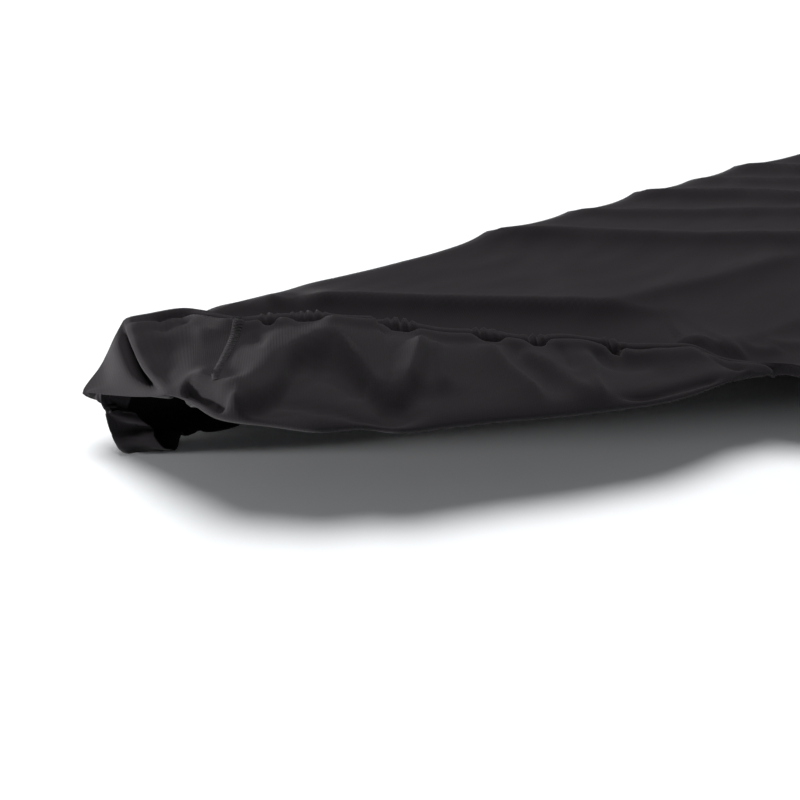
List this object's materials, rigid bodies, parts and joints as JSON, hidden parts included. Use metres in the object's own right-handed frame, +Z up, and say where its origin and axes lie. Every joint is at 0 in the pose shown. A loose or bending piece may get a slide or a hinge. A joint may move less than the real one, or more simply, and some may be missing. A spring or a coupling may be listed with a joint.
{
  "type": "keyboard dust cover",
  "caption": "Fitted dust cover of dark stretch cloth for a music keyboard, with an elastic hem, its front left corner turned back over the top.",
  "frame": {"origin": "under the cloth at the middle of the top panel, where what is covered holds the cover up", "axes": "+X along the cover's length towards its right end, +Y from its front to its back, +Z up"},
  "size_m": [0.9896, 0.3069, 0.0972],
  "materials": {
    "charcoal_knit": "matt charcoal polyester and elastane knit"
  },
  "bodies": {
    "root": {"cover_cloth": "charcoal_knit"}
  },
  "joints": []
}
